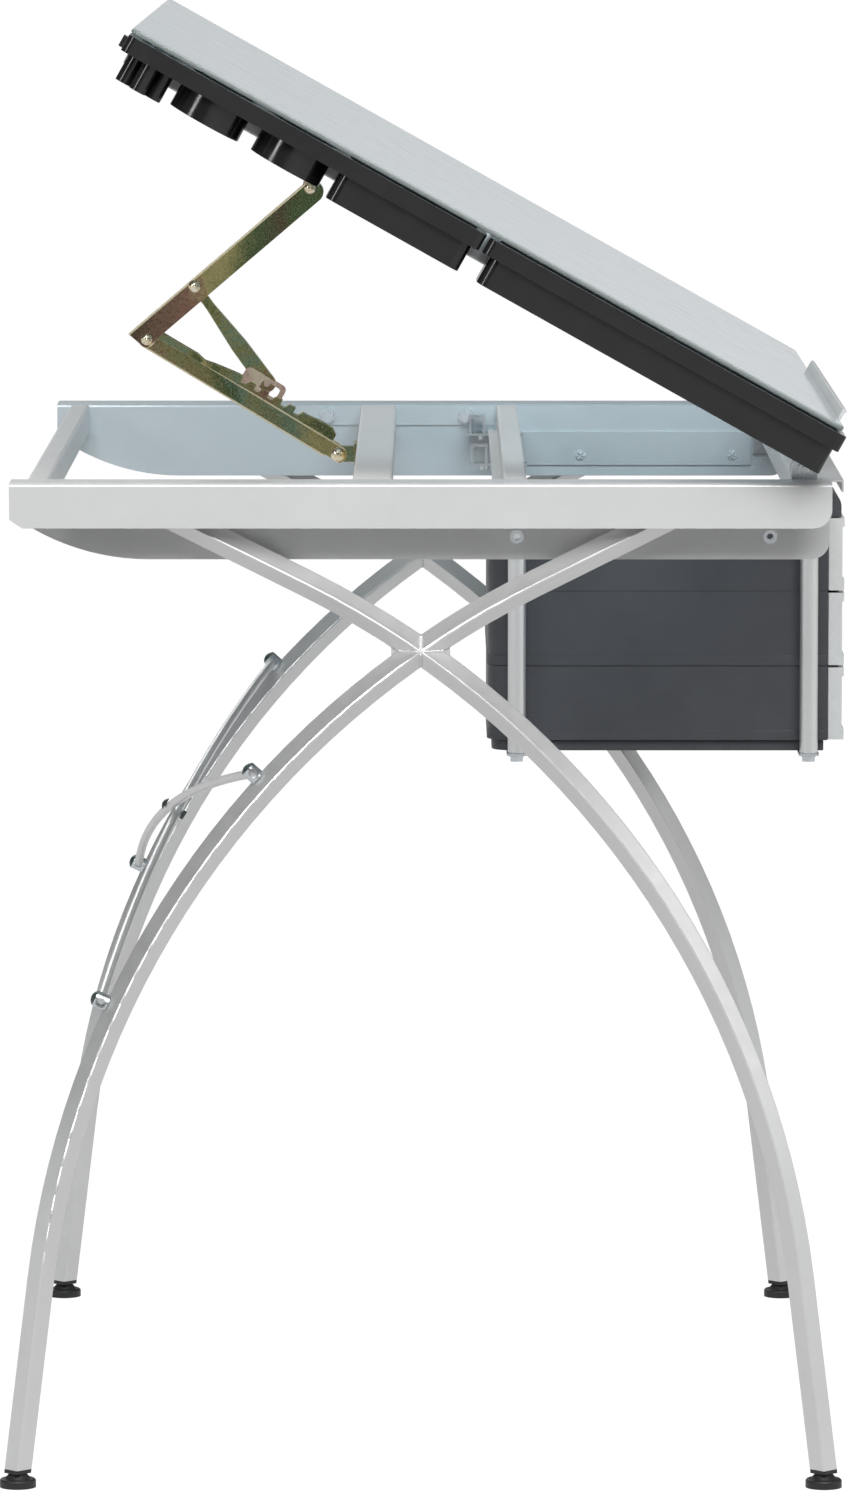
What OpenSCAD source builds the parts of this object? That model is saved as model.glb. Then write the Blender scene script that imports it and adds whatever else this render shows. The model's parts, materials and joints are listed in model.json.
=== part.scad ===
// Drafting table with a tilting glass top, crossed bow legs and a hanging drawer unit.
// X runs across the table, Y from the user (-Y) to the rear (+Y), Z up from the floor.
// The origin is on the floor, midway between the four legs. Every length is in millimetres.

/* [Tabletop] */
// Width of the glass
glass_w = 902; // [890:1:915]
// Depth of the glass, front edge to rear edge
glass_d = 603; // [598:1:608]
// Thickness of the glass
glass_t = 4; // [3:0.5:6]
// Tilt of the tabletop in the pose that the table stands in
tilt = 29.3; // [25:0.1:33]
// Width over the four side trays
trays_w = 965; // [955:1:980]
// Depth of the tray boxes below their rims
tray_depth = 34; // [28:1:36]
// Length of the sliding pencil ledge
ledge_len = 570; // [400:5:600]
// Offset of the pencil ledge from the middle of the table
ledge_x = -45; // [-60:5:60]

/* [Frame] */
// Width over the outer skirts of the two side rails
frame_w = 896; // [890:1:902]
// Length of the side rails
rail_len = 610; // [600:1:620]
// Height of the top of the side rails
rail_top = 758; // [750:1:765]
// Height of the inner web of a side rail
web_h = 60; // [56:1:64]
// Height of the outer skirt of a side rail
skirt_h = 33.5; // [30:0.5:36]
// Sheet thickness of the rails and crossbars
sheet = 1.5; // [1.2:0.1:2]
// Radius of the curved underside at the rear of a side rail
rail_curve_r = 174; // [165:1:190]

/* [Legs] */
// Distance of the leg planes from the middle of the table
leg_x = 427; // [425:0.5:429]
// Side of the square leg tube, which is set corner outward
leg_tube = 15; // [14:0.5:16]
// Wall of the leg tube
leg_wall = 1.2; // [1:0.1:1.5]
// Radius of the bowed part of a leg, to the middle of the tube
leg_r = 677; // [670:1:684]
// Distance of the bow's centre from the middle of the table, front to back
bow_y = 387; // [383:1:391]
// Height of the bow's centre
bow_z = 76; // [70:1:82]
// Lean of the straight foot of a leg
foot_lean = 7; // [6:0.5:8]

/* [Drawer unit] */
// Distance from the middle of the table to the near side of the housing
unit_x = 72; // [60:1:74]
// Width of the housing
unit_w = 310; // [300:1:312]
// Depth of the housing
unit_d = 272; // [262:1:274]
// Height from one drawer to the next
drawer_pitch = 60; // [58:1:60]
// Outer diameter of the hanging tubes
hanger_d = 14.5; // [12:0.5:15]

/* [Ratchet support] */
// Length of the lower arm, pivot to pivot
lower_len = 176; // [172:1:180]
// Length of the upper arm, pivot to pivot
upper_len = 175.3; // [172:0.1:180]
// Length of the strut, pivot to pawl pin
strut_len = 95.5; // [92:0.5:98]

/* [Hidden] */
$fn = 48;

gap = 0.15;              // clearance between pieces that touch
pin_d = 5.9;             // rivets and pivot bolts
pin_hole = 6.0;

// Side rails, crossbars and their heights
skirt_x = frame_w / 2;
flange_w = 42;
web_x = skirt_x - flange_w;          // outer face of the web
web_in = web_x - sheet;              // inner face of the web
rail_y = rail_len / 2;
bar_top = rail_top - 1;
bar_h = 22;
rear_bar = [278, 294];               // front and rear faces of the crossbars
middle_bar = [22, 51];
front_bar = [-79, -62];
apron = [-315.5, -278];
web_z = rail_top - web_h;
skirt_z = rail_top - skirt_h;
strip_t = 1.5;
strip_in = web_in - gap - strip_t;   // inner face of the strips on the webs
bolt_z = rail_top - 10;              // leg bolts
bolt_y = [79, -36];
nut_z = rail_top - 43;               // rivet nuts in the webs
left_nut_y = [-71.7, -260.6];
right_nut_y = [-132, -259];

// Hinge line and tilting frame: u runs up the glass, n stands off it
hinge_y = -286;
hinge_z = rail_top + 7;
arm_x = web_in - 8.6;                // inner face of a hinge arm
arm_t = 3;
ear_x = web_in - gap - arm_t;        // inner face of a hinge ear
top_n0 = 16.5;                       // underside of the tilting frame
top_n1 = 38.35;                      // top of the tilting frame
top_rail_w = 16;
glass_n = 40;
glass_u = -7.4;
rim_n0 = 26.5;                       // underside and top of the tray rims
rim_n1 = 39.4;
rim_x = [web_x + 11, trays_w / 2];   // inner and outer faces of a tray rim
ledge_t = 2.6;
ledge_u = glass_u - 0.7 - ledge_t;
ledge_screw_x = [ledge_x - ledge_len * 0.36, ledge_x + ledge_len * 0.36];
ledge_n = 25.5;                      // the ledge's screws
ledge_travel = 12;

// Leg geometry in the plane of one side
bow_end = 63.5;                      // angle on the bow where the straight upper end starts
slope_len = 141;
end_lap = 0.02;                      // how much thicker the straight ends are, on each face
foot_z = 13.6;
bar_size = 15;
top_bar_z = rail_top - 17.5;
foot_y = -bow_y + leg_r * cos(foot_lean) + (bow_z + leg_r * sin(foot_lean) - 12) * tan(foot_lean);

// Rear cross brace
brace_d = 7;
outer_bow = 21.4;
inner_bow = 14;
brace_up = 42.15;                    // where a rod meets a rear leg, as an angle on the bow
brace_low = 25.07;
brace_off = 14;                      // rod centre from the middle of the leg tube
brace_p0 = bow_pt(brace_up, brace_off);
brace_p1 = bow_pt(brace_low, brace_off);
brace_run = [2 * leg_x, brace_p1.x - brace_p0.x, brace_p1.y - brace_p0.y];
brace_mid = (brace_p0 + brace_p1) / 2;

// Drawer unit
unit_y0 = -325;                      // front edge of the housing's sides
unit_y1 = unit_y0 + unit_d;
unit_z = 511;
wall = 2.5;
base_z = 502.5;                      // underside of the base pan
nose_y0 = unit_y0 - 10.5;            // raised nose on the housing's roof
nose_y1 = unit_y0 + 27;
nose_z = 711;
nose_r = 12;
tube_y = [-309.5, -76];
tube_x = [unit_x - 10, unit_x + unit_w + 10];
strap_z = base_z - gap - 2;

// Ratchet pivots in the (Y, Z) plane
c_pt = [66, rail_top - 11.4];
a_un = [419.7, -15.8];
a_pt = [hinge_y + a_un.x * cos(tilt) - a_un.y * sin(tilt),
        hinge_z + a_un.x * sin(tilt) + a_un.y * cos(tilt)];
ca = a_pt - c_pt;
ca_len = norm(ca);
ca_x = (lower_len ^ 2 - upper_len ^ 2 + ca_len ^ 2) / (2 * ca_len);
ca_h = sqrt(lower_len ^ 2 - ca_x ^ 2);
b_pt = c_pt + ca / ca_len * ca_x + [ca.y, -ca.x] / ca_len * ca_h;
lower_a = atan2(b_pt.y - c_pt.y, b_pt.x - c_pt.x);
upper_a = atan2(a_pt.y - b_pt.y, a_pt.x - b_pt.x);
arm_skew = 2.3;                      // the upper arm's web against its line of pivots
d_arm = [55.8, -7.05];               // strut pivot in the upper arm's frame
d_pt = b_pt + turn(d_arm, upper_a + arm_skew);
d_low = turn(d_pt - c_pt, -lower_a);
e_h = 18.8;                          // pawl pin above the lower arm's line of pivots
e_low = [d_low.x - sqrt(strut_len ^ 2 - (d_low.y - e_h) ^ 2), e_h];
e_pt = c_pt + turn(e_low, lower_a);
strut_a = atan2(e_pt.y - d_pt.y, e_pt.x - d_pt.x);
rack_top = 14;                       // tips of the rack's teeth above the line of pivots
rack_start = 40;
rack_pitch = 12;
lower_in = 6.5;                      // half widths, inside the arms
lower_out = 8;
upper_in = 8.5;
upper_out = 10;

function turn(p, a) = [p.x * cos(a) - p.y * sin(a), p.x * sin(a) + p.y * cos(a)];
function bow_pt(a, off = 0) = [-bow_y + (leg_r + off) * cos(a), bow_z + (leg_r + off) * sin(a)];

// ---- building blocks ----

module block(x0, x1, y0, y1, z0, z1) {
    translate([x0, y0, z0]) cube([x1 - x0, y1 - y0, z1 - z0]);
}

module rect(x0, x1, y0, y1) {
    translate([x0, y0]) square([x1 - x0, y1 - y0]);
}

module round_rect(x0, x1, y0, y1, r) {
    rect(x0 + r, x1 - r, y0, y1);
    rect(x0, x1, y0 + r, y1 - r);
    for (x = [x0 + r, x1 - r], y = [y0 + r, y1 - r]) translate([x, y]) circle(r);
}

// An outline drawn in (Y, Z), swept along X
module sweep_x(x0, x1) {
    translate([x0, 0, 0]) rotate([90, 0, 90]) linear_extrude(x1 - x0) children();
}

// An outline drawn in (X, Z), swept along Y
module sweep_y(y0, y1) {
    translate([0, y1, 0]) rotate([90, 0, 0]) linear_extrude(y1 - y0) children();
}

module rod_x(d, x0, x1, y, z) {
    translate([x0, y, z]) rotate([0, 90, 0]) cylinder(d = d, h = x1 - x0);
}

module rod_z(d, z0, z1) {
    translate([0, 0, z0]) cylinder(d = d, h = z1 - z0);
}

// A hexagon bolt head or nut along X
module hex_x(flats, x0, x1, y, z) {
    translate([x0, y, z]) rotate([0, 90, 0]) cylinder(d = flats / cos(30), h = x1 - x0, $fn = 6);
}

module both_sides() {
    children();
    mirror([1, 0, 0]) children();
}

module on_top() {
    translate([0, hinge_y, hinge_z]) rotate([tilt, 0, 0]) children();
}

// A frame in the plane of the ratchet: x along the angle, y a quarter turn from it, z along X
module in_plane(p, a) {
    translate([0, p.x, p.y]) rotate([a, 0, 0]) rotate([90, 0, 90]) children();
}

// The plate from half width x0 to half width x1, on both sides of the middle
module plate_pair(x0, x1) {
    for (z = [x0, -x1]) translate([0, 0, z]) linear_extrude(x1 - x0) children();
}

module full_width(x) {
    translate([0, 0, -x]) linear_extrude(2 * x) children();
}

// A low domed head, standing on z = 0
module dome(r, h) {
    ball = (r ^ 2 + h ^ 2) / (2 * h);
    rotate_extrude() intersection() {
        translate([0, h - ball]) circle(ball, $fn = 96);
        square([r, h]);
    }
}

// ---- frame ----

module rail_section() {
    difference() {
        round_rect(web_in, skirt_x, web_z - 20, rail_top, 3);
        round_rect(web_x, skirt_x - sheet, web_z - 40, rail_top - sheet, 1.5);
        rect(web_x, skirt_x + 1, web_z - 30, skirt_z);
        rect(0, skirt_x + 1, web_z - 30, web_z);
    }
}

module front_corner(z, r) {
    difference() {
        rect(-rail_y - 1, -rail_y + r, z - 1, z + r);
        translate([-rail_y + r, z + r]) circle(r);
    }
}

module side_rail() {
    run = rail_y - sqrt(rail_curve_r ^ 2 - (rail_curve_r - 33) ^ 2);
    difference() {
        sweep_y(-rail_y, rail_y) rail_section();
        sweep_x(web_in - 1, skirt_x + 1) difference() {
            rect(run, rail_y + 1, web_z - 1, web_z + 34);
            translate([run, web_z + rail_curve_r]) circle(rail_curve_r, $fn = 180);
        }
        sweep_x(web_in - 1, web_x + 1) front_corner(web_z, 14);
        sweep_x(skirt_x - sheet - 1, skirt_x + 1) front_corner(skirt_z, 14);
        for (y = bolt_y) rod_x(6.2, web_in - 1, web_x + 1, y, bolt_z);
    }
}

module left_side_rail() {
    color("gainsboro") difference() {
        mirror([1, 0, 0]) side_rail();
        for (y = left_nut_y) rod_x(8, -web_x - 1, -web_in + 1, y, nut_z);
    }
}

module right_side_rail() {
    color("gainsboro") difference() {
        side_rail();
        for (y = right_nut_y) rod_x(8, web_in - 1, web_x + 1, y, nut_z);
    }
}

// An inverted channel across the frame
module channel(y, half_len) {
    sweep_x(-half_len, half_len) difference() {
        round_rect(y[0], y[1], bar_top - bar_h - 5, bar_top, 2);
        round_rect(y[0] + sheet, y[1] - sheet, bar_top - bar_h - 9, bar_top - sheet, 0.8);
        rect(y[0] - 1, y[1] + 1, bar_top - bar_h - 10, bar_top - bar_h);
    }
}

module rear_crossbar() {
    color("gainsboro") channel(rear_bar, web_in - gap);
}

// The pair of holes that the ratchet's base is fixed through
module base_holes(y) {
    for (x = [-16, 16]) translate([x, y, bar_top - 11]) rotate([-90, 0, 0]) cylinder(d = 5.2, h = 20);
}

module middle_crossbar() {
    color("gainsboro") difference() {
        channel(middle_bar, strip_in - gap);
        base_holes(middle_bar[1] - 10);
    }
}

module front_middle_crossbar() {
    color("gainsboro") {
        channel(front_bar, web_in - gap);
        block(-web_in + gap, web_in - gap, front_bar[1] - sheet, front_bar[1] + 7, bar_top - bar_h,
            bar_top - bar_h + sheet);
    }
}

module front_apron() {
    half = ear_x - gap;
    color("gainsboro") difference() {
        union() {
            block(-half, half, apron[0], apron[1], bar_top - sheet, bar_top);
            block(-half, half, apron[1] - sheet, apron[1], bar_top - 20, bar_top);
            block(-half, half, apron[0], apron[0] + sheet, bar_top - 9, bar_top);
        }
        both_sides() block(arm_x - 9, half + 1, -300, -270, bar_top - 7, bar_top + 1);
        for (x = tube_x) translate([x, tube_y[0], 0]) rod_z(hanger_d + 2 * gap, 700, bar_top - sheet);
    }
}

module rail_strips() {
    color("lightsteelblue") {
        both_sides() difference() {
            block(strip_in, strip_in + strip_t, -60, 105, bolt_z - 7.5, bolt_z + 8);
            for (y = bolt_y) rod_x(6.2, strip_in - 1, web_in, y, bolt_z);
        }
        difference() {
            block(strip_in, strip_in + strip_t, -274.5, -82, nut_z - 8, nut_z + 20);
            for (y = right_nut_y) rod_x(5.5, strip_in - 1, web_in, y, nut_z);
        }
    }
}

// Hexagon bolts with washers that hold the leg assemblies to the webs
module leg_bolts() {
    color("silver") both_sides() for (y = bolt_y) {
        hex_x(10, strip_in - 5.4, strip_in - 1.3, y, bolt_z);
        rod_x(14, strip_in - 1.3, strip_in - 0.05, y, bolt_z);
        rod_x(pin_d, strip_in - 0.1, web_x + 10, y, bolt_z);
    }
}

// A threaded sleeve that is crimped into sheet metal, with its flange at x0
module rivet_nut(x0, dir, y, depth) {
    translate([x0, y, nut_z]) rotate([0, 90 * dir, 0]) difference() {
        union() {
            translate([0, 0, 0.05]) cylinder(d = 10.5, h = 0.8);
            translate([0, 0, -depth]) cylinder(d = 7.8, h = depth + 0.5);
        }
        translate([0, 0, -depth - 1]) cylinder(r = 2.5, h = depth + 3);
    }
}

module rivet_nuts() {
    color("silver") {
        for (y = left_nut_y) rivet_nut(-web_x, -1, y, 8);
        for (y = right_nut_y) rivet_nut(web_x, 1, y, sheet - 0.1);
        both_sides() for (y = bolt_y) difference() {
            rod_x(8.8, web_x + gap + 0.1, web_x + 9, y, bolt_z);
            rod_x(pin_hole, web_x, web_x + 11, y, bolt_z);
        }
    }
}

module strip_screws() {
    color("silver") for (y = right_nut_y) {
        translate([strip_in - 0.05, y, nut_z]) rotate([0, -90, 0]) dome(4.6, 2.6);
        rod_x(4.9, strip_in - 0.5, web_x + 3, y, nut_z);
    }
}

// ---- legs ----

// Outline of a square shape, size across, set corner outward
module diamond(size) {
    rotate(45) round_rect(-size / 2, size / 2, -size / 2, size / 2, 1.3);
}

// Section of the leg tube; lap thickens the wall on both faces
module tube_section(lap = 0) {
    difference() {
        diamond(leg_tube + 2 * lap);
        diamond(leg_tube - 2 * leg_wall - 2 * lap);
    }
}

// The plane of one leg, centred on its bow. side is -1 for left and 1 for right;
// foot is -1 for a leg with its foot in front and 1 for one with its foot behind.
module leg_plane(side, foot) {
    translate([side * leg_x, 0, 0]) scale([1, foot, 1]) rotate([90, 0, 90])
        translate([-bow_y, bow_z, 0]) children();
}

module leg_bow() {
    rotate_extrude(angle = bow_end - foot_lean, start = foot_lean, $fn = 360)
        translate([leg_r, 0]) children();
}

module leg_foot() {
    foot_len = (bow_z + leg_r * sin(foot_lean) - 2) / cos(foot_lean);
    rotate([0, 0, foot_lean]) translate([leg_r, 0.5, 0]) rotate([90, 0, 0])
        linear_extrude(foot_len) children();
}

module leg_slope() {
    rotate([0, 0, bow_end]) translate([leg_r, -0.5, 0]) rotate([-90, 0, 0])
        linear_extrude(slope_len) children();
}

// The solid that the bowed part of a leg fills, size across
module bow_envelope(side, foot, size) {
    leg_plane(side, foot) leg_bow() diamond(size);
}

// The straight ends lap over the bow with a wall that is a little thicker
module leg(side, foot) {
    difference() {
        leg_plane(side, foot) {
            leg_bow() tube_section();
            leg_foot() tube_section(end_lap);
            leg_slope() tube_section(end_lap);
        }
        block(side * leg_x - 40, side * leg_x + 40, -400, 400, -1, foot_z);
        block(side * leg_x - 40, side * leg_x + 40, -400, 400, top_bar_z - gap, rail_top + 20);
    }
}

// A rear leg is cut to fit against the front leg that it crosses
module rear_leg(side) {
    difference() {
        leg(side, 1);
        bow_envelope(side, -1, leg_tube + 2 * gap);
    }
}

module left_front_leg() {
    color("lightgray") leg(-1, -1);
}

module right_front_leg() {
    color("lightgray") leg(1, -1);
}

module left_rear_leg() {
    color("lightgray") rear_leg(-1);
}

module right_rear_leg() {
    color("lightgray") rear_leg(1);
}

// Square bar over each pair of legs, hidden between the web and the skirt
module leg_top_bars() {
    x0 = web_x + gap;
    x1 = x0 + 30;
    color("lightgray") both_sides() difference() {
        sweep_y(-212, 212) difference() {
            round_rect(x0, x1, top_bar_z, top_bar_z + bar_size, 1.5);
            rect(x0 + leg_wall, x1 - leg_wall, top_bar_z + leg_wall, top_bar_z + bar_size - leg_wall);
        }
        for (y = bolt_y) rod_x(9, x0 - 1, x0 + leg_wall + 1, y, bolt_z);
    }
}

// Small plates welded into the valleys in front of and behind the crossing of each pair of legs
module leg_gussets() {
    clear = leg_tube / sqrt(2) - 0.4;        // a little more than the tube's rounded corner
    ends = [18.2, 22];
    upper = [for (y = ends) [y, bow_z + sqrt((leg_r - clear) ^ 2 - (bow_y - y) ^ 2)]];
    lower = [for (y = ends) [y, bow_z + sqrt((leg_r + clear) ^ 2 - (bow_y + y) ^ 2)]];
    color("lightgray") for (side = [-1, 1], way = [-1, 1])
        translate([side * leg_x, 0, 0]) scale([1, way, 1]) sweep_x(-1.5, 1.5)
            polygon([upper[0], upper[1], lower[1], lower[0]]);
}

module foot_inserts() {
    plug = leg_tube - 2 * leg_wall - 2 * gap;
    color("dimgray") for (side = [-1, 1], foot = [-1, 1]) difference() {
        union() {
            intersection() {
                leg_plane(side, foot) leg_foot() diamond(plug);
                block(side * leg_x - 20, side * leg_x + 20, -400, 400, foot_z - 1, foot_z + 22);
            }
            intersection() {
                leg_plane(side, foot) leg_foot() diamond(leg_tube);
                block(side * leg_x - 20, side * leg_x + 20, -400, 400, foot_z - 3, foot_z - gap);
            }
        }
        translate([side * leg_x, foot * foot_y, 0]) rod_z(8, 0, foot_z + 16);
    }
}

// Screw-in foot: round pad, tapered neck and threaded stem
module leveler(side, foot) {
    color("dimgray") translate([side * leg_x, foot * foot_y, 0]) rotate_extrude($fn = 64) {
        difference() {
            rect(0, 13.7, 0, 6.5);
            translate([11.7, 4.5]) difference() {
                square(3);
                circle(2);
            }
        }
        polygon([[0, 6.4], [10, 6.4], [6.5, 10.3], [0, 10.3]]);
        rect(0, 3.93, 6, foot_z + 14);
    }
}

module left_front_leveler() {
    leveler(-1, -1);
}

module left_rear_leveler() {
    leveler(-1, 1);
}

module right_front_leveler() {
    leveler(1, -1);
}

module right_rear_leveler() {
    leveler(1, 1);
}

// ---- rear cross brace ----

// Axes of one rod: x along its chord, y towards its bow, z across both
module brace_frame() {
    psi = atan2(norm([brace_run.y, brace_run.z]), brace_run.x);
    phi = atan2(brace_run.z, brace_run.y);
    translate([0, brace_mid.x, brace_mid.y])
        rotate([phi, 0, 0]) rotate([0, 0, psi]) rotate([90, 0, 0]) children();
}

// A round rod whose middle stands off its chord by bow, longer by extra at each end
module bowed_rod(d, bow, extra = 0) {
    half = norm(brace_run) / 2;
    r = (half ^ 2 + bow ^ 2) / (2 * bow);
    a = asin(half / r) + extra / r * 180 / PI;
    brace_frame() translate([0, bow - r, 0]) rotate_extrude(angle = 2 * a, start = 90 - a, $fn = 1440)
        translate([r, 0]) circle(d = d);
}

module brace_rods() {
    color("silver") {
        bowed_rod(brace_d, outer_bow);
        mirror([1, 0, 0]) bowed_rod(brace_d, inner_bow);
    }
}

// Frame of a brace end: origin on the leg's middle line, z radially outward
module brace_end(a) {
    p = bow_pt(a);
    translate([0, p.x, p.y]) rotate([a - 90, 0, 0]) children();
}

// Sleeves that stand on the rear legs and hold the ends of the rods
module brace_posts() {
    bore_bow = (outer_bow + inner_bow) / 2;
    color("silver") both_sides() difference() {
        translate([leg_x, 0, 0]) for (a = [brace_up, brace_low])
            brace_end(a) translate([0, 0, 8.5]) cylinder(d = 12, h = 10.5);
        bow_envelope(1, 1, leg_tube + 2 * gap);
        bowed_rod(brace_d + 1, bore_bow, 10);
        mirror([1, 0, 0]) bowed_rod(brace_d + 1, bore_bow, 10);
    }
}

// Domed screws on the posts, and the screw head and nut either side of the crossing
module brace_screws() {
    side = brace_d / 2 + 0.1;
    color("dimgray") {
        both_sides() translate([leg_x, 0, 0]) for (a = [brace_up, brace_low])
            brace_end(a) translate([0, 0, 19.1]) dome(6, 3);
        brace_frame() {
            translate([0, outer_bow + side, 0]) rotate([-90, 0, 0]) dome(5, 3);
            translate([0, inner_bow - side, 0]) rotate([90, 0, 0]) cylinder(d = 8, h = 3, $fn = 6);
        }
    }
}

// ---- hinge ----

module hinge_ears() {
    color("silver") both_sides() difference() {
        union() {
            block(ear_x, ear_x + arm_t, hinge_y - 10, hinge_y + 10, web_z + 18, hinge_z);
            rod_x(20, ear_x, ear_x + arm_t, hinge_y, hinge_z);
        }
        rod_x(pin_hole, ear_x - 1, ear_x + 5, hinge_y, hinge_z);
    }
}

module hinge_washers() {
    color("white") both_sides() for (x = [arm_x - 2.7, arm_x + arm_t + 0.1]) difference() {
        rod_x(21, x, x + (ear_x - arm_x - arm_t - 0.2), hinge_y, hinge_z);
        rod_x(6.1, x - 1, x + 5, hinge_y, hinge_z);
    }
}

module hinge_bolts() {
    color("silver") both_sides() {
        hex_x(10, arm_x - 7, arm_x - 2.9, hinge_y, hinge_z);
        rod_x(pin_d, arm_x - 3, web_x + 5, hinge_y, hinge_z);
        hex_x(10, ear_x + arm_t + 0.1, ear_x + arm_t + 5, hinge_y, hinge_z);
    }
}

// ---- drawer unit ----

module hanger_tubes() {
    color("silver") for (x = tube_x, i = [0, 1]) {
        top = i == 0 ? bar_top - sheet - gap : bar_top - bar_h - 2 - 2 * gap;
        translate([x, tube_y[i], 0]) difference() {
            rod_z(hanger_d, base_z, top);
            rod_z(hanger_d - 2.4, base_z + 20, top + 1);
            rod_z(6.2, base_z - 1, base_z + 21);
        }
    }
}

// Bracket on each rear hanging tube: a foot under the crossbar and an open box behind it
module hanger_brackets() {
    z1 = bar_top - bar_h - gap;
    color("lightsteelblue") for (x = tube_x) translate([x, tube_y[1], 0]) {
        block(-10, 10, -8, 38, z1 - 2, z1);
        sweep_x(-8, 5) difference() {
            rect(23.5, 37, z1 - 0.5, z1 + 15);
            rect(25.5, 35, z1, z1 + 13);
        }
        translate([0, 26, z1 - 5.5]) cylinder(d = 7, h = 4);
    }
}

module hanger_bolts() {
    color("silver") for (x = tube_x, y = tube_y) translate([x, y, 0]) {
        rod_z(12, strap_z - 1.3, strap_z - 0.1);
        rod_z(pin_d, strap_z - 2, base_z + 16);
        translate([0, 0, strap_z - 5]) cylinder(d = 10 / cos(30), h = 3.9, $fn = 6);
    }
}

module support_straps() {
    color("silver") for (y = tube_y) difference() {
        block(tube_x[0] - 8, tube_x[1] + 8, y - 8, y + 8, strap_z, strap_z + 2);
        for (x = tube_x) translate([x, y, 0]) rod_z(6.2, strap_z - 1, strap_z + 3);
    }
}

// Outline of the housing seen from above, with rounded rear corners
module unit_plan(y0, grow) {
    x0 = unit_x - grow;
    x1 = unit_x + unit_w + grow;
    y1 = unit_y1 + grow;
    r = 20 + grow;
    rect(x0, x1, y0, y1 - r);
    rect(x0 + r, x1 - r, y0, y1);
    for (x = [x0 + r, x1 - r]) translate([x, y1 - r]) circle(r);
}

module unit_solid(y0, z0, z1, grow = 0) {
    translate([0, 0, z0]) linear_extrude(z1 - z0) unit_plan(y0, grow);
}

// One open shelf of the housing: floor, sides and rear, with a raised band along its foot
module shelf(z0) {
    z1 = z0 + drawer_pitch;
    difference() {
        union() {
            unit_solid(unit_y0, z0 + gap, z1);
            unit_solid(unit_y0, z0 + gap, z0 + 8, 0.8);
        }
        unit_solid(unit_y0 - 1, z0 + wall, z1 + 1, -wall);
    }
}

module drawer_shell_middle() {
    color("slategray") shelf(unit_z + drawer_pitch);
}

module drawer_shell_bottom() {
    color("slategray") shelf(unit_z);
}

// The top shelf has a flat roof, and a raised nose in front that rounds over the top drawer
module drawer_shell_top() {
    z0 = unit_z + 2 * drawer_pitch;
    z1 = z0 + drawer_pitch;
    color("slategray") difference() {
        union() {
            unit_solid(unit_y0, z0 + gap, z1 + wall);
            intersection() {
                unit_solid(nose_y0, z1 - 0.5, nose_z);
                sweep_x(unit_x - 2, unit_x + unit_w + 2) {
                    rect(nose_y0, nose_y1, z1 - 0.5, nose_z - nose_r);
                    rect(nose_y0 + nose_r, nose_y1, nose_z - nose_r - 1, nose_z);
                    translate([nose_y0 + nose_r, nose_z - nose_r]) circle(nose_r);
                }
            }
        }
        unit_solid(unit_y0 - 1, z0 + wall, z1, -wall);
    }
}

module drawer_base() {
    color("slategray") difference() {
        unit_solid(unit_y0 + 3, base_z, unit_z, -3);
        unit_solid(unit_y0 + 6, base_z - 1, unit_z - wall, -6);
    }
}

// One drawer: an open box with a front panel and a finger ledge along the panel's foot
module drawer(i) {
    z0 = unit_z + i * drawer_pitch + wall + 0.3;
    front_y = unit_y0 - 13;
    front_z = unit_z + i * drawer_pitch + 0.6;
    panel_h = drawer_pitch - 2;
    color("whitesmoke") difference() {
        union() {
            unit_solid(unit_y0 - 4, z0, z0 + 50, -4);
            translate([0, 0, front_z]) linear_extrude(panel_h)
                round_rect(unit_x + 0.5, unit_x + unit_w - 0.5, front_y + 1.5, unit_y0 - 0.3, 1);
            translate([0, 0, front_z]) linear_extrude(9)
                round_rect(unit_x + 0.5, unit_x + unit_w - 0.5, front_y, unit_y0 - 0.3, 1);
            translate([0, 0, front_z + panel_h - 7]) linear_extrude(7)
                round_rect(unit_x + 0.5, unit_x + unit_w - 0.5, front_y, unit_y0 - 0.3, 1);
        }
        unit_solid(front_y + 4, z0 + 2, z0 + 2 + panel_h, -6);
    }
}

module drawer_top() {
    drawer(2);
}

module drawer_middle() {
    drawer(1);
}

module drawer_bottom() {
    drawer(0);
}

// ---- tilting frame and glass ----

// Section of a rectangular tube of the tilting frame, a0 to a1 across
module box_section(a0, a1) {
    difference() {
        round_rect(a0, a1, top_n0, top_n1, 1.5);
        rect(a0 + sheet, a1 - sheet, top_n0 + sheet, top_n1 - sheet);
    }
}

module top_side_rails() {
    color("silver") on_top() both_sides()
        sweep_y(5, glass_d - 13) box_section(arm_x + arm_t + gap, arm_x + arm_t + gap + top_rail_w);
}

module cross_rail(u0, half) {
    on_top() sweep_x(-half, half) box_section(u0, u0 + 20);
}

module top_front_rail() {
    color("silver") cross_rail(-5, arm_x - gap);
}

module top_middle_rail() {
    color("silver") cross_rail(434, arm_x + arm_t);
}

module top_rear_rail() {
    color("silver") cross_rail(glass_d - 33, arm_x + arm_t);
}

// Plates that carry the tilting frame on the hinge line
module hinge_arms() {
    color("silver") on_top() both_sides() difference() {
        sweep_x(arm_x, arm_x + arm_t) {
            circle(10);
            polygon([[-10, 0], [-8, top_n1], [60, top_n1], [60, top_n0], [20, top_n0], [8.5, 5]]);
        }
        rod_x(pin_hole, arm_x - 1, arm_x + 5, 0, 0);
    }
}

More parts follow.
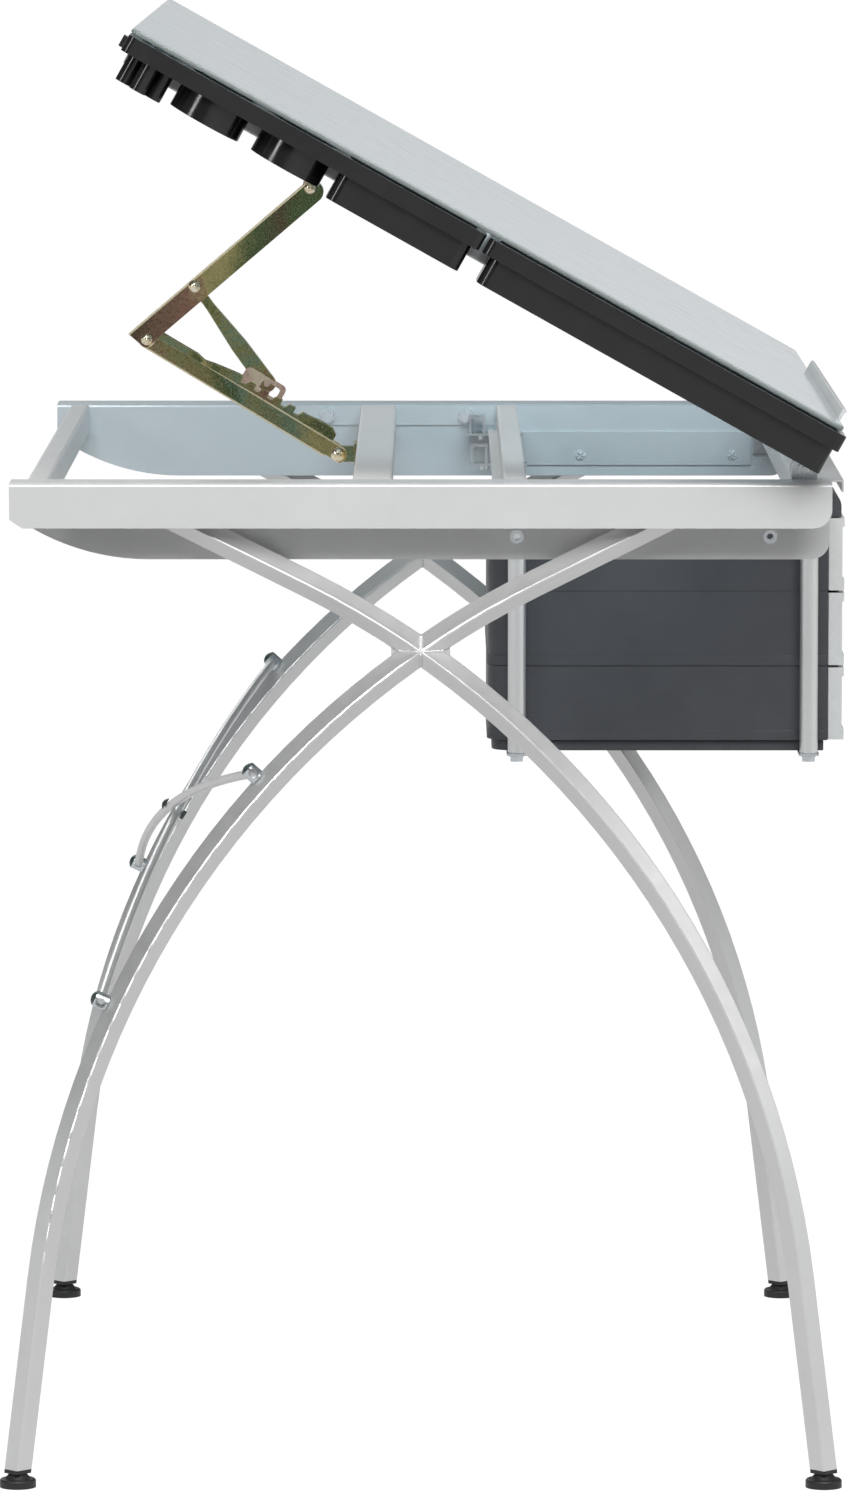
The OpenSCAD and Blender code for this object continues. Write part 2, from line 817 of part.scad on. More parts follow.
// Slim tab between the upper arm's walls, with a foot under the middle rail
module ratchet_top_bracket() {
    color("khaki") on_top() {
        sweep_x(-2.5, 2.5) {
            translate(a_un) circle(6.5);
            polygon([[a_un.x - 6.5, a_un.y], [a_un.x + 6.5, a_un.y], [436, top_n0 - 2.1], [421, top_n0 - 2.1]]);
        }
        difference() {
            block(-18, 18, 421, 452, top_n0 - 2.3, top_n0 - 0.3);
            for (x = [-12, 12]) translate([x, 444, 0]) rod_z(5, 0, top_n0 + 1);
        }
    }
}

module glass_top() {
    color("lightcyan", 0.6) on_top() translate([0, 0, glass_n]) linear_extrude(glass_t)
        round_rect(-glass_w / 2, glass_w / 2, glass_u, glass_u + glass_d, 8);
}

module glass_pads() {
    color("dimgray") on_top() for (x = [-330, -110, 110, 330], u = [5, 444, glass_d - 23])
        translate([x, u, 0]) rod_z(14, top_n1 + 0.05, glass_n - 0.05);
}

// ---- pencil ledge ----

module pencil_ledge() {
    color("gainsboro") on_top() translate([ledge_x, 0, 0]) difference() {
        sweep_x(-ledge_len / 2, ledge_len / 2) {
            rect(ledge_u, ledge_u + ledge_t, 21, 50);
            round_rect(ledge_u - 1, ledge_u + ledge_t, 48, 51, 1.2);
        }
        for (x = ledge_screw_x) translate([x - ledge_x, ledge_u - 5, 0]) rotate([-90, 0, 0]) {
            translate([-2.6, -ledge_n - ledge_travel, 0]) cube([5.2, ledge_travel, 10]);
            for (n = [ledge_n, ledge_n + ledge_travel]) translate([0, -n, 0]) cylinder(d = 5.2, h = 10);
        }
    }
}

module ledge_screws() {
    color("silver") on_top() for (x = ledge_screw_x) translate([x, 0, ledge_n]) rotate([90, 0, 0]) {
        translate([0, 0, 5 + gap]) cylinder(d = 5, h = -ledge_u - 5);
        translate([0, 0, -ledge_u + 1.1]) dome(6, 3);
    }
}

// ---- ratchet support ----

// A domed rivet across the arms, its heads standing on half width x
module rivet(p, x, d = pin_d, r = 5) {
    in_plane(p, 0) {
        translate([0, 0, -x - 0.2]) cylinder(d = d, h = 2 * x + 0.4);
        translate([0, 0, x + 0.05]) dome(r, 3);
        mirror([0, 0, 1]) translate([0, 0, x + 0.05]) dome(r, 3);
    }
}

module ratchet_base() {
    y0 = middle_bar[1] + gap;
    ear_out = lower_in - 0.3;
    color("khaki") difference() {
        union() {
            block(-22, 22, y0, y0 + 2, bar_top - 20, bar_top - 1);
            in_plane([0, 0], 0) plate_pair(ear_out - 2, ear_out) {
                rect(y0 + 1, c_pt.x, c_pt.y - 6, c_pt.y + 6);
                translate(c_pt) circle(6);
            }
        }
        in_plane(c_pt, 0) full_width(20) circle(d = pin_hole);
        base_holes(y0 - 5);
    }
}

module base_rivet() {
    color("goldenrod") rivet(c_pt, lower_out, pin_d, 5.8);
}

module lower_arm() {
    color("darkkhaki") in_plane(c_pt, lower_a) difference() {
        full_width(lower_out) difference() {
            union() {
                circle(7);
                polygon([[0, -7], [lower_len, -7], [lower_len, 5], [lower_len * 0.45, 7], [0, 7]]);
                translate([lower_len, 0]) circle(7);
            }
            for (x = [0, lower_len]) translate([x, 0]) circle(d = pin_hole);
        }
        full_width(lower_in) rect(-10, lower_len + 10, -5.5, 10);
        full_width(lower_out + 1) rect(-10, 9, -8, -5.5);
    }
}

// Two toothed strips inside the lower arm. Their backs rise from the pivot to the teeth and
// fall to a long low tail towards the elbow.
module ratchet_rack() {
    back = [[9, -1], [9, 12], [14, 15.5], [28, 15], [36, rack_top]];
    tail = [[100, rack_top], [119, 11.2], [128, 9.3], [136, 10.9], [171, 10.5], [171, -1]];
    color("khaki") in_plane(c_pt, lower_a) plate_pair(5, lower_in - 0.1) difference() {
        polygon(concat(back, tail));
        for (i = [0:4]) translate([rack_start + i * rack_pitch, rack_top])
            polygon([[0, 1], [7.5, 1], [7, -4.5], [3.5, -4.5]]);
    }
}

module upper_arm_outline() {
    w = 12.5;
    polygon([[-8.5, -w], [150, -w], [150, 5], [0, 5], [-6, 2.5]]);
    circle(6.5);
    rect(149, 175, -w, 5);
    rect(170, 183, -w, -3);
    translate([175, -3]) circle(8);
}

module upper_arm() {
    a_arm = turn([upper_len, 0], -arm_skew);
    color("darkkhaki") in_plane(b_pt, upper_a + arm_skew) difference() {
        full_width(upper_out) difference() {
            upper_arm_outline();
            circle(d = pin_hole);
            translate(a_arm) circle(d = pin_hole);
            translate(d_arm) circle(d = 4);
        }
        full_width(upper_in) rect(-10, 200, -11, 10);
        full_width(upper_in) rect(130, 200, -14, 10);
    }
}

// Rivets at the elbow and the strut, and the pair of stub rivets at the top pivot
module arm_rivets() {
    color("goldenrod") {
        rivet(b_pt, upper_out);
        rivet(d_pt, upper_out, 3.9, 5.2);
        difference() {
            rivet(a_pt, upper_out);
            in_plane(a_pt, 0) full_width(4) circle(10);
        }
    }
}

module strut() {
    small_end = [for (a = [90:15:270]) 3.6 * [cos(a), sin(a)]];
    large_end = [for (a = [-90:15:90]) [strut_len, 0] + 7 * [cos(a), sin(a)]];
    lower_edge = [[20, -3.6], [58, -6.6]];
    upper_edge = [[58, 6.6], [20, 3.6]];
    color("olivedrab") in_plane(d_pt, strut_a) difference() {
        full_width(3.4) difference() {
            polygon(concat(small_end, lower_edge, large_end, upper_edge));
            circle(d = 4);
            translate([strut_len, 0]) circle(d = 5);
        }
        full_width(2.2) rect(10, strut_len - 12, -8, 8);
    }
}

// Looped pawl plates either side of the strut, and the pin that rests on the rack
module pawl() {
    color("rosybrown") {
        in_plane(c_pt, lower_a) plate_pair(3.5, 4.8) difference() {
            round_rect(e_low.x - 16, e_low.x + 20, 7.5, 23.5, 4);
            round_rect(e_low.x - 12, e_low.x + 4, 11, 20, 2.5);
        }
        in_plane(e_pt, lower_a) full_width(4.9) circle(d = 4.9);
    }
}

// ---- side trays ----

// The rim of a right tray as a solid block, and the flange that lies on the side rail
module tray_rim(u0, u1) {
    translate([0, 0, rim_n0]) linear_extrude(rim_n1 - rim_n0) round_rect(rim_x[0], rim_x[1], u0, u1, 6);
    block(arm_x + arm_t + 7, rim_x[0] + 8, u0 + 12, u1 - 12, top_n1 + 0.1, rim_n1);
}

// The hollow under the rim's top, between its outer wall and the boxes
module rim_hollow(u0, u1) {
    translate([0, 0, rim_n0 - 1]) linear_extrude(rim_n1 - rim_n0 - 1)
        round_rect(rim_x[0] + 2, rim_x[1] - 2, u0 + 2, u1 - 2, 4);
}

module tray_box(u0, u1, grow, n0) {
    translate([0, 0, n0]) linear_extrude(rim_n1 + 1 - n0)
        round_rect(rim_x[0] + 4 - grow, rim_x[1] - 4 + grow, u0 - grow, u1 + grow, 8 + grow);
}

module cup(u, d, n0, x) {
    translate([x, u, n0]) cylinder(d = d, h = rim_n1 + 1 - n0);
}

module trim_top() {
    block(web_x - 20, trays_w, -50, glass_d + 50, rim_n1, rim_n1 + 5);
}

module front_tray() {
    u0 = -10;
    u1 = 291;
    n0 = rim_n1 - tray_depth;
    difference() {
        union() {
            difference() {
                tray_rim(u0, u1);
                rim_hollow(u0, u1);
            }
            tray_box(u0 + 4, u1 - 7, 0, n0);
        }
        tray_box(u0 + 4, u1 - 7, -2, n0 + 2);
        trim_top();
    }
}

module rear_tray() {
    u0 = 294;
    u1 = 595;
    n0 = rim_n1 - tray_depth;
    mid_x = (rim_x[0] + rim_x[1]) / 2;
    cups = [448, 516];
    pens = [[-22, 570], [-11, 558], [-11, 582], [0, 570], [11, 558], [11, 582], [22, 570]];
    difference() {
        union() {
            difference() {
                tray_rim(u0, u1);
                rim_hollow(u0, u1);
            }
            tray_box(u0 + 6, 411, 0, n0);
            for (u = cups) cup(u, 57, n0 + 3, mid_x);
            for (p = pens) cup(p.y, 13, n0, mid_x + p.x);
            block(mid_x - 8, mid_x + 8, u1 - 1, u1 + 3.5, rim_n0 + 1, rim_n1 - 3);
        }
        tray_box(u0 + 6, 411, -2, n0 + 2);
        for (u = cups) cup(u, 53, n0 + 5, mid_x);
        for (p = pens) cup(p.y, 10, n0 + 2, mid_x + p.x);
        trim_top();
    }
}

module left_front_tray() {
    color("black") on_top() mirror([1, 0, 0]) front_tray();
}

module left_rear_tray() {
    color("black") on_top() mirror([1, 0, 0]) rear_tray();
}

module right_front_tray() {
    color("black") on_top() front_tray();
}

module right_rear_tray() {
    color("black") on_top() rear_tray();
}

left_side_rail();
right_side_rail();
rear_crossbar();
middle_crossbar();
front_middle_crossbar();
front_apron();
rail_strips();
leg_bolts();
rivet_nuts();
strip_screws();
leg_top_bars();
left_front_leg();
left_rear_leg();
right_front_leg();
right_rear_leg();
leg_gussets();
foot_inserts();
brace_rods();
brace_posts();
brace_screws();
hinge_ears();
hinge_bolts();
hinge_washers();
hanger_tubes();
hanger_brackets();
hanger_bolts();
support_straps();
drawer_shell_top();
drawer_shell_middle();
drawer_shell_bottom();
drawer_base();
ratchet_base();
base_rivet();
top_side_rails();
top_front_rail();
top_middle_rail();
top_rear_rail();
hinge_arms();
ratchet_top_bracket();
glass_top();
glass_pads();
ledge_screws();
pencil_ledge();
lower_arm();
ratchet_rack();
upper_arm();
arm_rivets();
strut();
pawl();
left_front_tray();
left_rear_tray();
right_front_tray();
right_rear_tray();
drawer_top();
drawer_middle();
drawer_bottom();
left_front_leveler();
left_rear_leveler();
right_front_leveler();
right_rear_leveler();
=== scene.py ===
"""Looks of the drafting table: materials, small built pieces, floor, light and camera.

Everything is in metres. X runs across the table, Y from the user to the rear, Z up from the floor.
"""

import json
import math
import random

import bmesh
import bpy
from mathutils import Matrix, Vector


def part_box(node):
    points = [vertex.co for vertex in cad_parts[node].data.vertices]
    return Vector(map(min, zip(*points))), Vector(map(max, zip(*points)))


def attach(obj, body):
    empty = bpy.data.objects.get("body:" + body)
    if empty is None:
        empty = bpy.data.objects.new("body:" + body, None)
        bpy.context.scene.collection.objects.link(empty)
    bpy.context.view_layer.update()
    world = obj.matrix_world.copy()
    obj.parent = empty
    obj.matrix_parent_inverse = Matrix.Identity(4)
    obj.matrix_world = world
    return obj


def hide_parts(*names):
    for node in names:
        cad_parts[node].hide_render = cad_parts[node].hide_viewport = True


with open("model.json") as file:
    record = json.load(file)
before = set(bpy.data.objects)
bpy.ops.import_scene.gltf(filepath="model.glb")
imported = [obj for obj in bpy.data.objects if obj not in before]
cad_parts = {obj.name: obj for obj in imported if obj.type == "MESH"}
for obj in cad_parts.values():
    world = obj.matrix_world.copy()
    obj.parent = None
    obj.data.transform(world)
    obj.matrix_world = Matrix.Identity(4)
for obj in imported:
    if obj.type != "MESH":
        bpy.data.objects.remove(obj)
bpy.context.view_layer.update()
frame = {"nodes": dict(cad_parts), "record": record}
nodes = frame["nodes"]
random.seed(11)

MM = 0.001
TILT = math.radians(29.3)
OFF_GLASS = Vector((0, -math.sin(TILT), math.cos(TILT)))
ACROSS = Vector((1, 0, 0))


# ---- materials ----


class Look:
    """A procedural material that is built up on one Principled shader."""

    def __init__(self, name, **values):
        self.material = bpy.data.materials.new(name)
        self.material.use_nodes = True
        self.tree = self.material.node_tree
        self.shader = self.tree.nodes["Principled BSDF"]
        coords = self.node("ShaderNodeTexCoord")
        self.place = coords.outputs["Object"]
        self.facing = coords.outputs["Normal"]
        for key, value in values.items():
            self.set(key.replace("_", " "), value)

    def set(self, socket, value):
        self.feed(self.shader.inputs[socket], value)

    def feed(self, socket, value):
        if isinstance(value, bpy.types.NodeSocket):
            self.tree.links.new(value, socket)
        else:
            socket.default_value = value

    def node(self, kind, inputs=None, **settings):
        made = self.tree.nodes.new(kind)
        for key, value in settings.items():
            setattr(made, key, value)
        for key, value in (inputs or {}).items():
            self.feed(made.inputs[key], value)
        return made

    def stretched(self, scale):
        mapping = self.node("ShaderNodeMapping", {"Vector": self.place, "Scale": scale})
        return mapping.outputs["Vector"]

    def noise(self, scale, detail=3.0, roughness=0.5, distortion=0.0, place=None):
        made = self.node(
            "ShaderNodeTexNoise",
            {
                "Vector": place or self.place,
                "Scale": scale,
                "Detail": detail,
                "Roughness": roughness,
                "Distortion": distortion,
            },
        )
        return made.outputs["Fac"]

    def cells(self, scale):
        made = self.node("ShaderNodeTexVoronoi", {"Vector": self.place, "Scale": scale})
        return made.outputs["Color"]

    def spread(self, value, from_low, from_high, low, high):
        made = self.node(
            "ShaderNodeMapRange",
            {"Value": value, "From Min": from_low, "From Max": from_high, "To Min": low, "To Max": high},
        )
        return made.outputs["Result"]

    def ramp(self, factor, stops):
        made = self.node("ShaderNodeValToRGB", {"Fac": factor})
        ends = made.color_ramp.elements
        while len(ends) < len(stops):
            ends.new(0.5)
        for element, (position, color) in zip(ends, stops):
            element.position = position
            element.color = (*color, 1)
        return made.outputs["Color"]

    def mix(self, factor, first, second):
        made = self.node("ShaderNodeMix", data_type="RGBA")
        self.feed(made.inputs[0], factor)
        self.feed(made.inputs[6], (*first, 1) if isinstance(first, tuple) else first)
        self.feed(made.inputs[7], (*second, 1) if isinstance(second, tuple) else second)
        return made.outputs[2]

    def math(self, operation, first, second=0.0):
        made = self.node("ShaderNodeMath", operation=operation)
        self.feed(made.inputs[0], first)
        self.feed(made.inputs[1], second)
        return made.outputs[0]

    def bump(self, height, distance, strength):
        """Adds relief of that depth, in metres, over what is there already."""
        inputs = {"Height": height, "Distance": distance, "Strength": strength}
        below = self.shader.inputs["Normal"]
        if below.is_linked:
            inputs["Normal"] = below.links[0].from_socket
        self.set("Normal", self.node("ShaderNodeBump", inputs).outputs["Normal"])

    def faces_along(self, direction):
        """How squarely a face looks along a direction, either way."""
        inputs = {0: self.facing, 1: tuple(direction)}
        dot = self.node("ShaderNodeVectorMath", inputs, operation="DOT_PRODUCT")
        return self.math("ABSOLUTE", dot.outputs["Value"])

    def along(self, direction):
        """The place's distance along a direction."""
        inputs = {0: self.place, 1: tuple(direction)}
        return self.node("ShaderNodeVectorMath", inputs, operation="DOT_PRODUCT").outputs["Value"]

    def along_y(self, start, end):
        """From 0 at the first Y to 1 at the second."""
        return self.spread(self.along((0, 1, 0)), start, end, 0, 1)

    def passes_light(self, tint):
        """Lets lamps shine through, tinted, while the camera still sees the surface."""
        path = self.node("ShaderNodeLightPath")
        clear = self.node("ShaderNodeBsdfTransparent", {"Color": (*tint, 1)})
        both = self.node("ShaderNodeMixShader", {"Fac": path.outputs["Is Shadow Ray"]})
        self.feed(both.inputs[1], self.shader.outputs[0])
        self.feed(both.inputs[2], clear.outputs[0])
        self.feed(self.tree.nodes["Material Output"].inputs["Surface"], both.outputs[0])


def shade(color, factor):
    return tuple(min(1.0, c * factor) for c in color)


def powder_coat(name, color, metallic, roughness, relief=1.0):
    """Silver powder coat: fine flake, soft orange peel and a little handling haze."""
    look = Look(name, Metallic=metallic)
    haze = look.noise(9, 4, 0.6)
    tone = look.mix(look.spread(haze, 0.3, 0.7, 0, 1), shade(color, 0.97), shade(color, 1.03))
    flake = look.spread(look.cells(2600), 0, 1, 0, 0.14)
    look.set("Base Color", look.mix(flake, tone, shade(color, 1.25)))
    look.set("Roughness", look.spread(look.noise(60, 3), 0.3, 0.7, roughness - 0.04, roughness + 0.05))
    look.bump(look.noise(420, 2), 0.00006 * relief, 0.6)
    look.bump(look.noise(2200, 1), 0.00001 * relief, 0.5)
    look.set("Coat Weight", 0.12)
    look.set("Coat Roughness", 0.3)
    return look.material


def bright_zinc(name, color, roughness=0.3, metallic=1.0):
    """Zinc plate: faint spangle, a cool cast and fine rolling lines."""
    look = Look(name, Metallic=metallic)
    spangle = look.spread(look.cells(240), 0, 1, 0, 0.3)
    tone = look.mix(spangle, shade(color, 0.93), shade(color, 1.08))
    cast = look.spread(look.noise(30, 3, 0.6, 0.8), 0.45, 0.75, 0, 0.3)
    look.set("Base Color", look.mix(cast, tone, (0.66, 0.76, 0.83)))
    look.set("Roughness", look.spread(look.noise(120, 3), 0.3, 0.7, roughness - 0.04, roughness + 0.05))
    look.bump(look.noise(160, 3, 0.5, place=look.stretched((1, 1, 9))), 0.00001, 0.4)
    return look.material


def strip_lines(node):
    """A flat strip's rear and front Y, and its width: middle, direction and half.

    The direction across is the one, to a tenth of a degree, along which the strip is narrowest.
    """
    corners = [v.co for v in nodes[node].data.vertices]

    def spread_across(angle):
        across = Vector((0, -math.sin(angle), math.cos(angle)))
        reaches = [c.dot(across) for c in corners]
        return max(reaches) - min(reaches), across, (max(reaches) + min(reaches)) / 2

    tries = [spread_across(math.radians(a / 10)) for a in range(-900, 900)]
    width, across, middle = min(tries, key=lambda found: found[0])
    low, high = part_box(node)
    return (high.y, low.y), middle, across, width / 2


# Width of the painted highlight along a strip's rims
HIGHLIGHT_RIM_WIDTH = 1.3 * MM


def yellow_zinc(name, film, roughness, band=15, speckle=0.5, edge=None, strip=None):
    """Yellow passivated zinc: film colours in bands, fine crystals and a painted highlight in the edge
    colour on faces that don't look along X.

    On a strip the bands run from its rear end to its front end, and a painted highlight runs along its
    rims.
    """
    look = Look(name, Metallic=1.0)
    grain = look.noise(420, 3, 0.6)
    ripple = look.math("MULTIPLY", look.math("SUBTRACT", grain, 0.5), 0.3)
    drift = look.noise(band, 2, 0.5, 0.5)
    if strip:
        span, middle, across, half_width = strip_lines(strip)
        drift = look.math("MULTIPLY", look.math("SUBTRACT", drift, 0.5), 0.55)
        drift = look.math("ADD", look.along_y(*span), drift)
    tone = look.ramp(look.math("ADD", drift, ripple), film)
    crystals = look.spread(look.noise(1700, 2, 0.6), 0.53, 0.62, 0, speckle)
    tone = look.mix(crystals, tone, (0.62, 0.58, 0.40))
    pits = look.spread(look.noise(1300, 2, 0.6), 0.36, 0.45, speckle * 1.1, 0)
    tone = look.mix(pits, tone, (0.035, 0.028, 0.012))
    # painted highlight: bevels and side faces, which don't look along X, take the pale gold edge colour
    if edge:
        tone = look.mix(look.math("LESS_THAN", look.faces_along(ACROSS), 0.93), tone, edge)
    if strip:
        reach = look.math("ABSOLUTE", look.math("SUBTRACT", look.along(across), middle))
        # painted highlight: a band of the edge colour along the strip's rims
        painted_rim_highlight = look.math("GREATER_THAN", reach, half_width - HIGHLIGHT_RIM_WIDTH)
        tone = look.mix(painted_rim_highlight, tone, shade(edge, 1.05))
    look.set("Base Color", tone)
    look.set("Roughness", look.spread(grain, 0.3, 0.75, roughness - 0.05, roughness + 0.12))
    look.bump(grain, 0.00003, 0.5)
    return look.material


def glass(name):
    """Pale tempered glass with greyer polished edges; lamps shine through it."""
    look = Look(name, IOR=1.5, Transmission_Weight=0.35)
    smear = look.noise(3.5, 4, 0.6, 0.6)
    body = look.mix(look.spread(smear, 0.3, 0.7, 0, 1), (0.50, 0.59, 0.62), (0.56, 0.64, 0.67))
    edge = look.math("LESS_THAN", look.faces_along(OFF_GLASS), 0.6)
    look.set("Base Color", look.mix(edge, body, (0.40, 0.43, 0.40)))
    look.set("Roughness", look.spread(look.noise(40, 3), 0.3, 0.7, 0.04, 0.09))
    look.bump(look.noise(1.6, 2), 0.0006, 0.25)
    look.passes_light((0.88, 0.94, 0.96))
    return look.material


def moulded(name, color, roughness, grain, grain_depth, flow=0.0, **extra):
    """Moulded plastic: gentle sink marks, surface grain and a slight change of tone."""
    look = Look(name, **extra)
    tone = look.spread(look.noise(14, 3, 0.6), 0.3, 0.7, 0, 1)
    look.set("Base Color", look.mix(tone, shade(color, 0.88), shade(color, 1.12)))
    look.set("Roughness", look.spread(look.noise(55, 4, 0.6), 0.3, 0.7, roughness - 0.05, roughness + 0.08))
    look.bump(look.noise(grain, 2), grain_depth, 0.7)
    if flow:
        look.bump(look.noise(18, 2, 0.5, 0.4), flow, 0.6)
    return look.material


def milky(name):
    """Milky drawer plastic with a smooth skin."""
    look = Look(name, IOR=1.46, Coat_Weight=0.3, Coat_Roughness=0.15)
    flow = look.noise(11, 3, 0.55, 0.7)
    tone = look.spread(flow, 0.3, 0.7, 0, 1)
    look.set("Base Color", look.mix(tone, (0.92, 0.94, 0.94), (0.97, 0.98, 0.98)))
    look.set("Roughness", look.spread(look.noise(80, 3), 0.3, 0.7, 0.2, 0.3))
    look.bump(flow, 0.0004, 0.3)
    return look.material


ROSE = (0.30, 0.15, 0.11)
BROWN = (0.075, 0.048, 0.028)
GREEN = (0.045, 0.10, 0.03)
TEAL = (0.17, 0.28, 0.19)
OLIVE = (0.27, 0.26, 0.10)
GOLD = (0.46, 0.40, 0.16)
# painted highlight colour for the edges and rims of the yellow zinc parts
PAINTED_HIGHLIGHT_GOLD = (0.90, 0.80, 0.55)

# Film colours: each stands at its place from 0 to 1 along the bands
LOWER_FILM = [
    (0.08, ROSE), (0.22, OLIVE), (0.36, GREEN), (0.5, TEAL),
    (0.64, OLIVE), (0.78, TEAL), (0.92, GOLD),
]
UPPER_FILM = [
    (0.1, BROWN), (0.3, ROSE), (0.42, GOLD), (0.52, OLIVE),
    (0.64, GREEN), (0.82, BROWN), (0.95, GREEN),
]
STRAP_FILM = [(0.34, ROSE), (0.44, OLIVE), (0.52, TEAL), (0.60, OLIVE), (0.68, GREEN), (0.76, GOLD)]
ROSY_FILM = [(0.35, (0.62, 0.42, 0.34)), (0.50, (0.76, 0.58, 0.48)), (0.65, (0.80, 0.68, 0.52))]
DOME_FILM = [(0.35, (0.70, 0.56, 0.36)), (0.50, (0.86, 0.76, 0.56)), (0.65, (0.92, 0.86, 0.72))]


looks = {
    "frame_silver": powder_coat("silver_coat", (0.84, 0.845, 0.845), 0.25, 0.34),
    "leg_silver": powder_coat("leg_coat", (0.83, 0.83, 0.825), 0.68, 0.33, 0.1),
    "zinc_bright": bright_zinc("bright_zinc", (0.70, 0.74, 0.77)),
    "zinc_yellow": yellow_zinc("yellow_zinc", STRAP_FILM, 0.3, edge=PAINTED_HIGHLIGHT_GOLD),
    "rivet_gold": yellow_zinc("rivet_zinc", DOME_FILM, 0.16, 90, 0.06),
    "glass_pale": glass("tempered_glass"),
    "tray_black": moulded("gloss_black", (0.016, 0.016, 0.017), 0.14, 700, 0.00001, 0.00015),
    "housing_grey": moulded("slate_plastic", (0.084, 0.086, 0.097), 0.42, 1500, 0.00004, 0.0006),
    "drawer_white": milky("milky_plastic"),
    "foot_black": moulded("foot_plastic", (0.022, 0.022, 0.023), 0.4, 900, 0.00004),
    "nylon_white": moulded("nylon", (0.78, 0.79, 0.77), 0.35, 500, 0.00002, Subsurface_Weight=0.2),
    "pad_grey": moulded("bumper_rubber", (0.10, 0.10, 0.10), 0.7, 1200, 0.00006),
    "cap_dark": moulded("cap_plastic", (0.06, 0.085, 0.08), 0.3, 900, 0.00002),
}
weld_look = powder_coat("weld_coat", (0.83, 0.83, 0.825), 0.6, 0.38, 0.2)
# painted light: a paler, warmer copy of the silver coat that makes the two middle crossbars read lighter
# than the rest of the frame, standing in for the light on their tops
painted_light_coat = powder_coat("painted_light_coat", (0.95, 0.93, 0.91), 0.05, 0.4)
screw_look = bright_zinc("screw_zinc", (0.84, 0.90, 0.94), 0.24, 0.5)
VARIANTS = {
    "leg_bolts": screw_look,
    # painted light: the middle crossbars take the paler copy of the silver coat
    "middle_crossbar": painted_light_coat,
    "front_middle_crossbar": painted_light_coat,
    # painted shade: the far rail takes a darker, bluer copy of the silver coat, standing in for light
    # tinted by the glass over it
    "right_side_rail": powder_coat("painted_glass_shade_coat", (0.70, 0.77, 0.81), 0.3, 0.34),
    "rail_strips": powder_coat("strip_coat", (0.74, 0.82, 0.86), 0.5, 0.32),
    "lower_arm": yellow_zinc("lower_zinc", LOWER_FILM, 0.3, 20, 0.6, PAINTED_HIGHLIGHT_GOLD, "lower_arm"),
    "upper_arm": yellow_zinc("upper_zinc", UPPER_FILM, 0.3, 20, 0.6, PAINTED_HIGHLIGHT_GOLD, "upper_arm"),
    "pawl": yellow_zinc("rosy_zinc", ROSY_FILM, 0.3, 40, 0.12),
    "ratchet_top_bracket": yellow_zinc("bracket_zinc", ROSY_FILM, 0.3, 60, 0.2),
}

for part in frame["record"]["subparts"]:
    skin = nodes[part["node"]].data
    skin.materials.clear()
    skin.materials.append(looks[part["material_slot"]])
for name, look in VARIANTS.items():
    nodes[name].data.materials.clear()
    nodes[name].data.materials.append(look)


# ---- softened edges on the carried-over parts ----


WELD_REACH = 0.00002
FLAT_WITHIN = math.radians(0.6)
SHARP_FROM = math.radians(34)


def soften(name, width):
    """Rounds a part's sharp edges to a width, in metres."""
    part = nodes[name]
    weld = part.modifiers.new("weld", "WELD")
    weld.merge_threshold = WELD_REACH
    flats = part.modifiers.new("flats", "DECIMATE")
    flats.decimate_type = "DISSOLVE"
    flats.angle_limit = FLAT_WITHIN
    bevel = part.modifiers.new("bevel", "BEVEL")
    bevel.width = width
    bevel.segments = 2
    bevel.limit_method = "ANGLE"
    bevel.angle_limit = SHARP_FROM
    bevel.use_clamp_overlap = True
    normals = part.modifiers.new("normals", "WEIGHTED_NORMAL")
    normals.mode = "FACE_AREA"
    normals.weight = 60


SOFT_EDGES = {
    "glass_top": 0.0012,
    "drawer_top": 0.0006,
    "drawer_middle": 0.0006,
    "drawer_bottom": 0.0006,
    "drawer_shell_middle": 0.0008,
    "drawer_shell_bottom": 0.0008,
    "drawer_shell_top": 0.0008,
    "drawer_base": 0.0008,
    "hinge_arms": 0.0005,
    "hinge_ears": 0.0005,
    "lower_arm": 0.0012,
    "upper_arm": 0.0012,
    "left_rear_tray": 0.0008,
    "left_front_tray": 0.0008,
    "right_rear_tray": 0.0008,
    "right_front_tray": 0.0008,
    "strut": 0.0004,
    "pawl": 0.0003,
    "ratchet_rack": 0.0003,
    "ratchet_base": 0.0003,
    "support_straps": 0.0004,
    "hinge_washers": 0.0005,
    "leg_bolts": 0.0005,
    "hinge_bolts": 0.0005,
    "hanger_bolts": 0.0005,
    "left_side_rail": 0.0004,
    "right_side_rail": 0.0004,
    "front_apron": 0.0004,
}
for name, width in SOFT_EDGES.items():
    soften(name, width)


# ---- built pieces ----


def add_piece(name, mesh, body, look):
    made = bpy.data.objects.new(name, mesh)
    bpy.context.scene.collection.objects.link(made)
    mesh.materials.append(look)
    for face in mesh.polygons:
        face.use_smooth = True
    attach(made, body)
    return made


def mesh_from(build, name):
    work = bmesh.new()
    build(work)
    bmesh.ops.recalc_face_normals(work, faces=work.faces)
    mesh = bpy.data.meshes.new(name)
    work.to_mesh(mesh)
    work.free()
    return mesh


